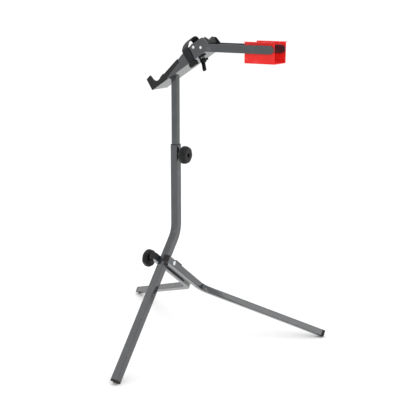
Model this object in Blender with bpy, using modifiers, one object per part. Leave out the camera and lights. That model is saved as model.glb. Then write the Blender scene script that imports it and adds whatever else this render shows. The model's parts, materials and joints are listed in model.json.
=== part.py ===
# A fold-up bike repair stand: a bent square main tube with a telescoping mast, two splayed
# rear legs on one pivot bolt, and a channel head that carries the bottom bracket, a strap,
# a V rest for the down tube and a red trough for the front wheel.
# The frame is X to the right along the two arms, Y to the back, Z up from the floor.
import math

import bmesh
import bpy
from mathutils import Matrix, Vector

# ---- clearances and sheet
GAP = 0.0003
SHEET = 0.003

# ---- main tube
MAIN_SIZE = 0.025
MAIN_WALL = 0.0012
POST_TOP = 0.695
BEND_HEIGHT = 0.405
BEND_RADIUS = 0.080
LOWER_SLOPE = math.radians(49.3)
CORNER_RADIUS = 0.002

# ---- rear legs
LEG_SIZE = 0.022
LEG_WALL = 0.0015
LEG_SPACER = 0.002
PIVOT_DOWN = 0.109
PIVOT_BACK = 0.005
LEG_FRONT = 0.036
LEG_UPPER = 0.238
LEG_BEND_RADIUS = 0.060
LEG_SPLAY = math.radians(54.9)
LEG_OPENING = math.radians(92.7)
LOCATING_HOLE_OUT = 0.013
LOCATING_HOLE_RADIUS = 0.0025

# ---- foot caps and plugs
CAP_LENGTH = 0.006
LEG_CAP_LENGTH = 0.010
CAP_STUB = 0.014
SOLE_CUT = 0.0022
PLUG_LENGTH = 0.003

# ---- bridge over the rear legs
BRIDGE_CLEARANCE = 0.0015
BRIDGE_START = MAIN_SIZE / 2 - PIVOT_BACK + BRIDGE_CLEARANCE
BRIDGE_LENGTH = 0.042
BRIDGE_EASE = 0.0008

# ---- pivot bolt, screws and knobs
BOLT_RADIUS = 0.004
BOLT_HEAD_RADIUS = 0.0075
BOLT_HEAD_HEIGHT = 0.0042
WASHER_RADIUS = 0.0095
WASHER_THICKNESS = 0.0014
KNOB_RADIUS = 0.0300
KNOB_DEPTH = 0.0245
KNOB_LOBES = 7
KNOB_LOBE_DEPTH = 0.0022
KNOB_BOSS_RADIUS = 0.0105
LEG_KNOB_BOSS = 0.013
HEIGHT_KNOB_BOSS = 0.0085
KNOB_DISH_DEPTH = 0.003
SCREW_CHAMFER = 0.001
CLAMP_DROP = 0.030
CLAMP_NUT_RADIUS = 0.0085
CLAMP_NUT_LENGTH = 0.003

# ---- mast
MAST_SIZE = 0.020
MAST_WALL = 0.0015
MAST_CORNER = 0.0018
MAST_INSIDE = 0.110
BUSH_LENGTH = 0.018
BUSH_FLANGE = 0.0015
BUSH_INSET = 0.0005
GLIDE_LENGTH = 0.012

# ---- channel head: A runs up along its web, B stands square to the web
WEB_HEIGHT = 0.909
WEB_SLOPE = math.radians(33.0)
CHANNEL_WIDTH = 0.076
HOOK_START = -0.0715
HOOK_HEIGHT = 0.0365
CRADLE_A = -0.0366
CRADLE_B = 0.032
CRADLE_RADIUS = 0.0195
RAMP_SLOPE = math.radians(10.8)
RAMP_END = 0.060
PLATE_HEIGHT = 0.0425
PLATE_END = 0.182
STUD_A = 0.117
SLOT_LENGTH = 0.022
GUIDE_HOLE_A = 0.146
GUIDE_HOLE_RADIUS = 0.002
ARM_RELIEF_A = 0.151
HOOK_LIP_BACK = 0.003
HOOK_LIP_RISE = 0.004
CRADLE_TURN = math.radians(190.8)
SHOULDER_RUN = 0.032
SHOULDER_DROP = 0.0035
CREST_RUN = 0.065
PLATE_CORNER = 0.010
PLATE_END_LEAN = 0.006
CUT_PAST = 0.1

# ---- rubber trims on the hook
TRIM_PROUD = 0.0025
TRIM_BAND = 0.0105
TRIM_CHEEK = 0.0020
TRIM_TOE = (0.012, 0.0)
TRIM_THROAT = (0.004, 0.0065)
TRIM_TOP_LEAN = 0.001

# ---- arms and wheel trough
ARM_START = 0.082
ARM_END = 0.363
ARM_HEIGHT = 0.024
ARM_THICKNESS = 0.0035
ARM_Z = 1.0075
ARM_BOLTS = (0.093, 0.119)
ARM_BOLT_RADIUS = 0.0025
TROUGH_START = 0.267
TROUGH_LENGTH = 0.097
TROUGH_HEIGHT = 0.061
TROUGH_RIM = 0.008
TROUGH_SHEET = 0.0015
TROUGH_ABOVE_ARM = 0.009
TROUGH_SCREWS = (0.020, 0.072)
TROUGH_SCREW_RADIUS = 0.002
TROUGH_SCREW_HEAD = 0.0014

# ---- strap
STRAP_A = 0.102
STRAP_WIDTH = 0.026
STRAP_THICKNESS = 0.0020
BUCKLE_DROP = 0.016
BUCKLE_SIDE = 0.001
BUCKLE_OUT = 0.006
BUCKLE_IN = 0.012
BUCKLE_ROUND = 0.004
RIVET_RADIUS = 0.0045
RIVET_HEIGHT = 0.002
RIVET_B = 0.018

# ---- V rest and its clamp lever
REST_A = 0.166
REST_HALF_WIDTH = 0.0262
REST_TOP = 0.0400
REST_NOTCH = 0.0280
REST_PAD_DEPTH = 0.011
REST_PAD_PROUD = 0.0022
REST_PAD_SKIRT = 0.008
REST_FOOT_BACK = 0.013
REST_FOOT_HALF = 0.016
HORN_RADIUS = 0.0045
HORN_TURN = math.radians(150)
NOTCH_RADIUS = 0.006
NOTCH_TURN = math.radians(40)
STUD_RADIUS = 0.003
HUB_RADIUS = 0.0095
HUB_HEIGHT = 0.014
HUB_EASE = 0.0015
HUB_FLOOR = 0.002
LEVER_WASHER = 0.0012
LEVER_DROOP = Vector((-0.002, -0.014, -0.027))
LEVER_ARM = Vector((0.0055, 0.034, 0.004))
LEVER_ARM_BACK = 0.003
LEVER_TAIL = Vector((0.003, 0.0175, 0.0035))
LEVER_TAIL_START = 0.005
LEVER_TAIL_TURN = math.radians(50.3)

PARTS = bpy.data.collections.new("bike_repair_stand")
CUTTERS = bpy.data.collections.new("cutters")


def start_clean():
    for thing in list(bpy.data.objects):
        bpy.data.objects.remove(thing, do_unlink=True)
    bpy.context.scene.collection.children.link(PARTS)
    bpy.context.scene.collection.children.link(CUTTERS)


def finish(name, rgb, roughness, metallic):
    material = bpy.data.materials.new(name)
    material.use_nodes = True
    shader = material.node_tree.nodes["Principled BSDF"]
    shader.inputs["Base Color"].default_value = (*rgb, 1.0)
    shader.inputs["Roughness"].default_value = roughness
    shader.inputs["Metallic"].default_value = metallic
    material.diffuse_color = (*rgb, 1.0)
    return material


FINISHES = {
    "paint": ((0.085, 0.095, 0.105), 0.30, 0.4),
    "rubber": ((0.012, 0.012, 0.013), 0.65, 0.0),
    "plastic": ((0.018, 0.018, 0.019), 0.45, 0.0),
    "plug": ((0.030, 0.025, 0.025), 0.50, 0.0),
    "nylon": ((0.55, 0.55, 0.53), 0.45, 0.0),
    "zinc": ((0.62, 0.63, 0.64), 0.28, 1.0),
    "red": ((0.75, 0.035, 0.030), 0.35, 0.0),
    "webbing": ((0.016, 0.016, 0.018), 0.85, 0.0),
}


# ---------------------------------------------------------------- frames
def frame(name, parent, matrix):
    empty = bpy.data.objects.new(name, None)
    empty.parent = parent
    empty.matrix_local = matrix
    PARTS.objects.link(empty)
    return empty


def axes(x_axis, y_axis, origin):
    across = Vector(x_axis).normalized()
    along = Vector(y_axis).normalized()
    up = across.cross(along)
    turn = Matrix((across, along, up)).transposed().to_4x4()
    return Matrix.Translation(origin) @ turn


# ---------------------------------------------------------------- making pieces
def add(name, mesh, slot, parent, place=None, shade=True):
    piece = bpy.data.objects.new(name, mesh)
    piece.parent = parent
    if place is not None:
        piece.matrix_local = place
    mesh.materials.clear()
    mesh.materials.append(finish(name, *FINISHES[slot]))
    if shade:
        mesh.shade_smooth()
        mesh.set_sharp_from_angle(angle=math.radians(35))
    PARTS.objects.link(piece)
    return piece


def add_cutter(name, mesh, parent, place=None):
    cutter = bpy.data.objects.new(name, mesh)
    cutter.parent = parent
    if place is not None:
        cutter.matrix_local = place
    cutter.hide_render = True
    cutter.display_type = "WIRE"
    CUTTERS.objects.link(cutter)
    return cutter


def cut(piece, cutter, operation="DIFFERENCE"):
    boolean = piece.modifiers.new(cutter.name, "BOOLEAN")
    boolean.object = cutter
    boolean.operation = operation


def to_mesh(name, build):
    build.normal_update()
    mesh = bpy.data.meshes.new(name)
    build.to_mesh(mesh)
    build.free()
    return mesh


def box_mesh(name, low, high, bevel=0.0, segments=2):
    build = bmesh.new()
    bmesh.ops.create_cube(build, size=1.0)
    size = [h - l for l, h in zip(low, high)]
    centre = [(h + l) / 2 for l, h in zip(low, high)]
    bmesh.ops.scale(build, vec=size, verts=build.verts)
    bmesh.ops.translate(build, vec=centre, verts=build.verts)
    if bevel:
        bmesh.ops.bevel(build, geom=build.edges[:], offset=bevel, offset_type="OFFSET", affect="EDGES",
                        segments=segments, profile=0.5, material=-1)
    return to_mesh(name, build)


def rod_mesh(name, radius, start, end, steps=20):
    # A plain rod along its own Z, from start to end.
    build = bmesh.new()
    bmesh.ops.create_cone(build, cap_ends=True, segments=steps, radius1=radius, radius2=radius,
                          depth=end - start)
    bmesh.ops.translate(build, vec=(0, 0, (start + end) / 2), verts=build.verts)
    return to_mesh(name, build)


def turned(name, profile, closed, slot, parent, place, steps=24):
    # The profile is (radius, height) down the outer side; the Screw turns it about Z.
    mesh = bpy.data.meshes.new(name)
    count = len(profile)
    links = [(i, i + 1) for i in range(count - 1)]
    if closed:
        links.append((count - 1, 0))
    mesh.from_pydata([(radius, 0.0, height) for radius, height in profile], links, [])
    piece = add(name, mesh, slot, parent, place, shade=False)
    screw = piece.modifiers.new("turn", "SCREW")
    screw.steps = steps
    screw.render_steps = steps
    screw.use_merge_vertices = True
    screw.merge_threshold = 0.00001
    screw.use_smooth_shade = True
    return piece


def ring_profile(inner, outer, low, high):
    return [(outer, high), (outer, low), (inner, low), (inner, high)]


def outline_mesh(name, points, thickness):
    # A flat plate of the given outline in XY, centred on Z = 0.
    curve = bpy.data.curves.new(name, "CURVE")
    curve.dimensions = "2D"
    curve.fill_mode = "BOTH"
    curve.extrude = thickness / 2
    spline = curve.splines.new("POLY")
    spline.points.add(len(points) - 1)
    for point, (x, y) in zip(spline.points, points):
        point.co = (x, y, 0.0, 1.0)
    spline.use_cyclic_u = True
    holder = bpy.data.objects.new(name, curve)
    CUTTERS.objects.link(holder)
    bpy.context.view_layer.update()
    evaluated = holder.evaluated_get(bpy.context.evaluated_depsgraph_get())
    mesh = bpy.data.meshes.new_from_object(evaluated)
    bpy.data.objects.remove(holder, do_unlink=True)
    bpy.data.curves.remove(curve)
    build = bmesh.new()
    build.from_mesh(mesh)
    bpy.data.meshes.remove(mesh)
    bmesh.ops.remove_doubles(build, verts=build.verts, dist=0.00001)
    bmesh.ops.recalc_face_normals(build, faces=build.faces)
    return to_mesh(name, build)


def arc(centre, radius, start, end, steps):
    turn = (end - start) / steps
    return [(centre[0] + radius * math.cos(start + turn * i), centre[1] + radius * math.sin(start + turn * i))
            for i in range(steps + 1)]


def rounded_square(size, corner, steps=2):
    reach = size / 2 - corner
    points = []
    for quarter, (across, up) in enumerate(((1, 1), (-1, 1), (-1, -1), (1, -1))):
        start = quarter * math.pi / 2
        points += arc((across * reach, up * reach), corner, start, start + math.pi / 2, steps)
    return points


def extrude_ring(build, edges, vector):
    grown = bmesh.ops.extrude_edge_only(build, edges=edges)["geom"]
    verts = [item for item in grown if isinstance(item, bmesh.types.BMVert)]
    bmesh.ops.translate(build, vec=vector, verts=verts)
    return [item for item in grown if isinstance(item, bmesh.types.BMEdge)]


def bent_tube(name, size, wall, start, corner, radius, turn, end, slot, parent, place=None, steps=8):
    # A square tube along its own Y from start to the bend's corner, turned towards +X, or towards
    # -X for a negative turn, then straight for the length given by end.
    side = 1 if turn > 0 else -1
    tangent = radius * math.tan(abs(turn) / 2)
    build = bmesh.new()
    ring = [build.verts.new((x, start, z)) for x, z in rounded_square(size, CORNER_RADIUS)]
    edges = [build.edges.new((ring[i - 1], ring[i])) for i in range(len(ring))]
    edges = extrude_ring(build, edges, (0, corner - tangent - start, 0))
    bend = bmesh.ops.spin(build, geom=edges, cent=(side * radius, corner - tangent, 0), axis=(0, 0, -side),
                          angle=abs(turn), steps=steps, use_merge=False, use_duplicate=False)
    edges = [item for item in bend["geom_last"] if isinstance(item, bmesh.types.BMEdge)]
    run = end - tangent
    extrude_ring(build, edges, (run * math.sin(turn), run * math.cos(turn), 0))
    bmesh.ops.remove_doubles(build, verts=build.verts, dist=0.00001)
    bmesh.ops.recalc_face_normals(build, faces=build.faces)
    piece = add(name, to_mesh(name, build), slot, parent, place)
    shell = piece.modifiers.new("wall", "SOLIDIFY")
    shell.thickness = wall
    shell.offset = -1.0
    shell.use_even_offset = True
    return piece


def end_cap(name, size, wall, length, stub, slot, parent, place):
    # The cap stands on its own +Y beyond the tube's end, and its stub enters the tube on -Y.
    build = bmesh.new()
    bmesh.ops.create_cube(build, size=1.0)
    bmesh.ops.scale(build, vec=(size, length, size), verts=build.verts)
    bmesh.ops.translate(build, vec=(0, GAP + length / 2, 0), verts=build.verts)
    build.normal_update()
    inner = [face for face in build.faces if face.normal.y < -0.9]
    bmesh.ops.inset_region(build, faces=inner, thickness=wall + GAP * 1.8, use_even_offset=True)
    grown = bmesh.ops.extrude_face_region(build, geom=inner)["geom"]
    verts = [item for item in grown if isinstance(item, bmesh.types.BMVert)]
    bmesh.ops.translate(build, vec=(0, -stub, 0), verts=verts)
    bmesh.ops.delete(build, geom=inner, context="FACES")
    uprights = [edge for edge in build.edges
                if abs(edge.verts[0].co.y - edge.verts[1].co.y) > length / 2
                and all(min(abs(vert.co.x), abs(vert.co.z)) > size / 2 - GAP for vert in edge.verts)]
    bmesh.ops.bevel(build, geom=uprights, offset=CORNER_RADIUS, offset_type="OFFSET", affect="EDGES",
                    segments=2, profile=0.5, material=-1)
    bmesh.ops.recalc_face_normals(build, faces=build.faces)
    return add(name, to_mesh(name, build), slot, parent, place)


# ---------------------------------------------------------------- places worked out once
LOWER_DIRECTION = Vector((0, -math.cos(LOWER_SLOPE), -math.sin(LOWER_SLOPE)))
BEHIND_LOWER = Vector((0, math.sin(LOWER_SLOPE), -math.cos(LOWER_SLOPE)))
MAIN_CORNER = Vector((0, 0, BEND_HEIGHT))
MAIN_END_Z = MAIN_SIZE / 2 * math.cos(LOWER_SLOPE) + (CAP_LENGTH + GAP) * math.sin(LOWER_SLOPE) - SOLE_CUT
MAIN_LOWER = (BEND_HEIGHT - MAIN_END_Z) / math.sin(LOWER_SLOPE)

PIVOT = MAIN_CORNER + PIVOT_DOWN * LOWER_DIRECTION + PIVOT_BACK * BEHIND_LOWER
LEG_TILT = LEG_OPENING - math.pi / 2 - (math.pi / 2 - LOWER_SLOPE)
LEG_CENTRE = MAIN_SIZE / 2 + LEG_SPACER + LEG_SIZE / 2
LEG_FRAME = Matrix.Translation(PIVOT) @ Matrix.Rotation(LEG_TILT, 4, "X")
LEG_DROP = -(LEG_FRAME.to_3x3() @ Vector((math.sin(LEG_SPLAY), math.cos(LEG_SPLAY), 0))).z
LEG_SIDE_DROP = -(LEG_FRAME.to_3x3() @ Vector((-math.cos(LEG_SPLAY), math.sin(LEG_SPLAY), 0))).z
LEG_FACE_DROP = math.cos(LEG_TILT)
LEG_LOWEST = ((LEG_SIZE / 2 - CORNER_RADIUS) * (abs(LEG_SIDE_DROP) + LEG_FACE_DROP)
              + CORNER_RADIUS * math.hypot(LEG_SIDE_DROP, LEG_FACE_DROP))
LEG_END_Z = LEG_LOWEST + GAP
LEG_CORNER = LEG_FRAME @ Vector((LEG_CENTRE, LEG_UPPER, 0))
LEG_LOWER = (LEG_CORNER.z - LEG_END_Z) / LEG_DROP

LEG_RUN = LEG_FRAME.to_3x3() @ Vector((math.sin(LEG_SPLAY), math.cos(LEG_SPLAY), 0))
LEG_SIDE = LEG_FRAME.to_3x3() @ Vector((-math.cos(LEG_SPLAY), math.sin(LEG_SPLAY), 0))
LEG_UP = LEG_FRAME.to_3x3() @ Vector((0, 0, 1))
REAR_REACH = (LEG_CORNER + (LEG_LOWER + LEG_CAP_LENGTH + GAP) * LEG_RUN).y + (
    (LEG_SIZE / 2 - CORNER_RADIUS) * (abs(LEG_SIDE.y) + abs(LEG_UP.y)) + CORNER_RADIUS * math.hypot(
        LEG_SIDE.y, LEG_UP.y))
FRONT_REACH = (MAIN_LOWER + CAP_LENGTH + GAP) * LOWER_DIRECTION.y - MAIN_SIZE / 2 * BEHIND_LOWER.y
POST_Y = -(REAR_REACH + FRONT_REACH) / 2

HEAD_FRAME = Matrix.Translation((0, 0, WEB_HEIGHT)) @ Matrix.Rotation(-WEB_SLOPE, 4, "Y")
TO_PLATE = Matrix.Rotation(math.pi / 2, 4, "X")
ALONG_X = Matrix.Rotation(math.pi / 2, 4, "Y")
NEAR = -CHANNEL_WIDTH / 2
FAR = CHANNEL_WIDTH / 2


# ---------------------------------------------------------------- main tube and its fittings
def main_tube(base):
    along = axes((0, -1, 0), (0, 0, -1), (0, 0, BEND_HEIGHT))
    tube = bent_tube("main_tube", MAIN_SIZE, MAIN_WALL, BEND_HEIGHT - POST_TOP, 0.0, BEND_RADIUS,
                     math.pi / 2 - LOWER_SLOPE, MAIN_LOWER, "paint", base, along)
    hole = rod_mesh("pivot_hole", BOLT_RADIUS + GAP, -LEG_CENTRE, LEG_CENTRE)
    cut(tube, add_cutter("pivot_hole", hole, base, Matrix.Translation(PIVOT) @ ALONG_X))
    screw_z = POST_TOP - CLAMP_DROP
    entry = rod_mesh("clamp_hole", BOLT_RADIUS + GAP, MAST_SIZE / 2, MAIN_SIZE)
    cut(tube, add_cutter("clamp_hole", entry, base, Matrix.Translation((0, 0, screw_z)) @ ALONG_X))

    across = Vector((1, 0, 0))
    foot = MAIN_CORNER + MAIN_LOWER * LOWER_DIRECTION
    cap = end_cap("main_foot_cap", MAIN_SIZE, MAIN_WALL, CAP_LENGTH, CAP_STUB, "plug", base,
                  axes(across, LOWER_DIRECTION, foot))
    cut(cap, FLOOR)

    turned("clamp_nut", ring_profile(BOLT_RADIUS + GAP, CLAMP_NUT_RADIUS, MAIN_SIZE / 2 + GAP,
                                     MAIN_SIZE / 2 + GAP + CLAMP_NUT_LENGTH),
           True, "paint", base, Matrix.Translation((0, 0, screw_z)) @ ALONG_X)


def square_block(name, size, corner, low, high):
    mesh = outline_mesh(name, rounded_square(size, corner), high - low)
    mesh.transform(Matrix.Translation((0, 0, (low + high) / 2)))
    return mesh


def mast_bush(base):
    # A thin sleeve in the tube's mouth with a narrow flange on its rim.
    inner = MAST_SIZE + 2 * GAP
    outer = MAIN_SIZE - 2 * MAIN_WALL - 2 * GAP
    flange = MAIN_SIZE - 2 * BUSH_INSET
    top = POST_TOP + GAP + BUSH_FLANGE
    sleeve = square_block("mast_bush", outer, CORNER_RADIUS - MAIN_WALL, POST_TOP - BUSH_LENGTH, top)
    bush = add("mast_bush", sleeve, "plastic", base)
    rim = square_block("bush_rim", flange, CORNER_RADIUS, POST_TOP + GAP, top)
    cut(bush, add_cutter("bush_rim", rim, base), "UNION")
    well = square_block("bush_well", inner, MAST_CORNER, POST_TOP - 2 * BUSH_LENGTH, POST_TOP + BUSH_LENGTH)
    cut(bush, add_cutter("bush_well", well, base))


def pivot_washers(base):
    for name, side in (("pivot_washer_right", 1), ("pivot_washer_left", -1)):
        start = MAIN_SIZE / 2 + (LEG_SPACER - WASHER_THICKNESS) / 2
        place = Matrix.Translation(PIVOT) @ Matrix.Rotation(side * math.pi / 2, 4, "Y")
        turned(name, ring_profile(BOLT_RADIUS + GAP, WASHER_RADIUS, start, start + WASHER_THICKNESS),
               True, "nylon", base, place)


# ---------------------------------------------------------------- rear legs
def rear_leg(legs, side):
    word = "right" if side > 0 else "left"
    place = Matrix.Translation((side * LEG_CENTRE, 0, 0))
    leg = bent_tube(word + "_leg", LEG_SIZE, LEG_WALL, -LEG_FRONT, LEG_UPPER, LEG_BEND_RADIUS,
                    side * LEG_SPLAY, LEG_LOWER, "paint", legs, place)
    bolt_way = rod_mesh(word + "_bolt_way", BOLT_RADIUS + GAP, -LEG_SIZE, LEG_SIZE)
    cut(leg, add_cutter(word + "_bolt_way", bolt_way, legs, place @ ALONG_X))
    drain = rod_mesh(word + "_locating_hole", LOCATING_HOLE_RADIUS, -LEG_SIZE, 0.0, 12)
    out = Matrix.Translation((0, LOCATING_HOLE_OUT, 0))
    cut(leg, add_cutter(word + "_locating_hole", drain, legs, place @ out))

    plug_place = place @ axes((-1, 0, 0), (0, -1, 0), (0, -LEG_FRONT, 0))
    end_cap(word + "_leg_plug", LEG_SIZE, LEG_WALL, PLUG_LENGTH, CAP_STUB, "plug", legs, plug_place)

    run = Vector((side * math.sin(LEG_SPLAY), math.cos(LEG_SPLAY), 0))
    square = Vector((math.cos(LEG_SPLAY), -side * math.sin(LEG_SPLAY), 0))
    end = Vector((side * LEG_CENTRE, LEG_UPPER, 0)) + LEG_LOWER * run
    cap = end_cap(word + "_foot_cap", LEG_SIZE, LEG_WALL, LEG_CAP_LENGTH, CAP_STUB, "plug", legs,
                  axes(square, run, end))
    cut(cap, FLOOR)


def leg_bridge(legs):
    half = LEG_CENTRE + LEG_SIZE / 2
    low = LEG_SIZE / 2 + GAP
    plate = box_mesh("leg_bridge", (-half, BRIDGE_START, low), (half, BRIDGE_START + BRIDGE_LENGTH, low + SHEET),
                     bevel=BRIDGE_EASE, segments=1)
    add("leg_bridge", plate, "paint", legs)


def dome(radius, base, height, steps=5):
    return [(radius * math.sin(math.pi / 2 * i / steps), base + height * math.cos(math.pi / 2 * i / steps))
            for i in range(steps + 1)]


def pivot_bolt(legs):
    face = LEG_CENTRE + LEG_SIZE / 2 + GAP
    tip = -(face + WASHER_THICKNESS + LEG_KNOB_BOSS + KNOB_DEPTH * 0.6)
    profile = dome(BOLT_HEAD_RADIUS, face, BOLT_HEAD_HEIGHT) + [(BOLT_RADIUS, face), (BOLT_RADIUS, tip), (0.0, tip)]
    turned("pivot_bolt", profile, False, "zinc", legs, ALONG_X)
    washer = ring_profile(BOLT_RADIUS + GAP, WASHER_RADIUS + 0.001, face, face + WASHER_THICKNESS)
    turned("knob_washer", washer, True, "zinc", legs, Matrix.Rotation(-math.pi / 2, 4, "Y"))


# ---------------------------------------------------------------- clamp knobs
def clamp_knob(name, boss, parent, place):
    # A lobed mushroom knob: its boss starts at Z = 0 and its face looks along +Z.
    build = bmesh.new()
    top = boss + KNOB_DEPTH
    well = boss + KNOB_DEPTH * 0.65
    bore = BOLT_RADIUS + GAP
    rings = (
        (bore, well, 0.0),
        (bore, 0.0, 0.0),
        (KNOB_BOSS_RADIUS, 0.0, 0.0),
        (KNOB_BOSS_RADIUS, boss * 0.85, 0.0),
        (KNOB_RADIUS * 0.55, boss, 0.2),
        (KNOB_RADIUS * 0.93, boss + KNOB_DEPTH * 0.10, 1.0),
        (KNOB_RADIUS, boss + KNOB_DEPTH * 0.30, 1.0),
        (KNOB_RADIUS, boss + KNOB_DEPTH * 0.62, 1.0),
        (KNOB_RADIUS * 0.90, boss + KNOB_DEPTH * 0.86, 0.9),
        (KNOB_RADIUS * 0.66, top, 0.5),
        (KNOB_RADIUS * 0.24, top, 0.0),
        (KNOB_RADIUS * 0.20, top - KNOB_DISH_DEPTH, 0.0),
    )
    steps = KNOB_LOBES * 6
    edges = None
    for radius, height, share in rings:
        if edges is None:
            circle = bmesh.ops.create_circle(build, cap_ends=False, radius=1.0, segments=steps)["verts"]
            edges = list({edge for vert in circle for edge in vert.link_edges})
            first = list(edges)
        else:
            edges = extrude_ring(build, edges, (0, 0, 0))
        for vert in {vert for edge in edges for vert in edge.verts}:
            angle = math.atan2(vert.co.y, vert.co.x)
            dip = KNOB_LOBE_DEPTH * share * (1 - math.cos(KNOB_LOBES * angle)) / 2
            vert.co = ((radius - dip) * math.cos(angle), (radius - dip) * math.sin(angle), height)
    bmesh.ops.contextual_create(build, geom=first)
    bmesh.ops.contextual_create(build, geom=edges)
    bmesh.ops.recalc_face_normals(build, faces=build.faces)
    return add(name, to_mesh(name, build), "plastic", parent, place)


def leg_knob(spin):
    start = LEG_CENTRE + LEG_SIZE / 2 + 2 * GAP + WASHER_THICKNESS
    place = Matrix.Rotation(-math.pi / 2, 4, "Y") @ Matrix.Translation((0, 0, start))
    clamp_knob("leg_knob", LEG_KNOB_BOSS, spin, place)


def height_clamp(spin):
    face = MAIN_SIZE / 2 + 2 * GAP + CLAMP_NUT_LENGTH
    clamp_knob("height_knob", HEIGHT_KNOB_BOSS, spin, ALONG_X @ Matrix.Translation((0, 0, face)))
    tip = MAST_SIZE / 2 + GAP
    end = face + HEIGHT_KNOB_BOSS + KNOB_DEPTH * 0.5
    profile = [(0.0, end), (BOLT_RADIUS, end), (BOLT_RADIUS, tip + SCREW_CHAMFER),
               (BOLT_RADIUS - SCREW_CHAMFER, tip), (0.0, tip)]
    turned("height_screw", profile, False, "zinc", spin, ALONG_X, 16)


# ---------------------------------------------------------------- mast
def mast(post):
    bottom = POST_TOP - MAST_INSIDE
    top = WEB_HEIGHT + MAST_SIZE
    build = bmesh.new()
    ring = [build.verts.new((x, y, bottom)) for x, y in rounded_square(MAST_SIZE, MAST_CORNER)]
    edges = [build.edges.new((ring[i - 1], ring[i])) for i in range(len(ring))]
    extrude_ring(build, edges, (0, 0, top - bottom))
    bmesh.ops.remove_doubles(build, verts=build.verts, dist=0.00001)
    bmesh.ops.recalc_face_normals(build, faces=build.faces)
    tube = add("mast_tube", to_mesh("mast_tube", build), "paint", post)
    shell = tube.modifiers.new("wall", "SOLIDIFY")
    shell.thickness = MAST_WALL
    shell.offset = -1.0
    shell.use_even_offset = True
    slant = box_mesh("mast_slant", (-CUT_PAST, -CUT_PAST, -GAP), (CUT_PAST, CUT_PAST, CUT_PAST))
    cut(tube, add_cutter("mast_slant", slant, post, HEAD_FRAME))

    glide = MAIN_SIZE - 2 * MAIN_WALL - 2 * GAP
    step_to_bore = (glide - MAST_SIZE) / 2 + MAST_WALL
    end_cap("mast_glide", glide, step_to_bore, GLIDE_LENGTH,
            CAP_STUB, "plastic", post, axes((1, 0, 0), (0, 0, -1), (0, 0, bottom)))


# ---------------------------------------------------------------- channel head
def hook_outline(grow):
    # The hook's tip, the round cradle and the ramp, each moved outwards by grow.
    start = HOOK_START - grow
    tip = HOOK_HEIGHT + grow
    radius = CRADLE_RADIUS - grow
    centre = (CRADLE_A, CRADLE_B)
    cradle = arc(centre, radius, CRADLE_TURN, 1.5 * math.pi + RAMP_SLOPE, 9)
    lip = (cradle[0][0] - HOOK_LIP_BACK, tip + HOOK_LIP_RISE)
    return [(start, 0.0), (start, tip), lip] + cradle


def ramp_height(reach, grow):
    radius = CRADLE_RADIUS - grow
    foot_a = CRADLE_A + radius * math.sin(RAMP_SLOPE)
    foot_b = CRADLE_B - radius * math.cos(RAMP_SLOPE)
    return foot_b + (reach - foot_a) * math.tan(RAMP_SLOPE)


def plate_outline():
    points = hook_outline(0.0)
    points.append((RAMP_END, ramp_height(RAMP_END, 0.0)))
    points.append((RAMP_END + SHOULDER_RUN, PLATE_HEIGHT - SHOULDER_DROP))
    points.append((RAMP_END + CREST_RUN, PLATE_HEIGHT))
    top = PLATE_END - PLATE_END_LEAN - PLATE_CORNER
    points += arc((top, PLATE_HEIGHT - PLATE_CORNER), PLATE_CORNER, math.pi / 2, math.radians(8), 5)
    points.append((PLATE_END, 0.0))
    return points[::-1]


def head_channel(head):
    mesh = outline_mesh("head_channel", plate_outline(), CHANNEL_WIDTH)
    channel = add("head_channel", mesh, "paint", head, TO_PLATE)
    inside = CHANNEL_WIDTH / 2 - SHEET
    hollow = box_mesh("channel_hollow", (HOOK_START - CUT_PAST, -inside, SHEET), (PLATE_END + CUT_PAST, inside, CUT_PAST))
    cut(channel, add_cutter("channel_hollow", hollow, head))
    half = SLOT_LENGTH / 2
    width = STUD_RADIUS + GAP
    slot = (arc((half - width, 0), width, -math.pi / 2, math.pi / 2, 6)
            + arc((width - half, 0), width, math.pi / 2, 1.5 * math.pi, 6))
    way = outline_mesh("stud_slot", slot, SHEET * 4)
    cut(channel, add_cutter("stud_slot", way, head, Matrix.Translation((STUD_A, 0, 0))))
    relief = box_mesh("arm_relief", (ARM_RELIEF_A, inside - ARM_THICKNESS - 3 * GAP, -SHEET),
                      (PLATE_END * 1.1, inside, SHEET * 2))
    cut(channel, add_cutter("arm_relief", relief, head))
    guide = rod_mesh("guide_hole", GUIDE_HOLE_RADIUS, -SHEET, SHEET * 2, 12)
    cut(channel, add_cutter("guide_hole", guide, head, Matrix.Translation((GUIDE_HOLE_A, 0, 0))))
    return channel


def arm_bolt_ways(channel, post):
    for number, reach in enumerate(ARM_BOLTS):
        way = rod_mesh("arm_bolt_way_%d" % number, ARM_BOLT_RADIUS + GAP, -CHANNEL_WIDTH, CHANNEL_WIDTH, 16)
        place = Matrix.Translation((reach, 0, ARM_Z)) @ TO_PLATE
        cut(channel, add_cutter("arm_bolt_way_%d" % number, way, post, place))


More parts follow.
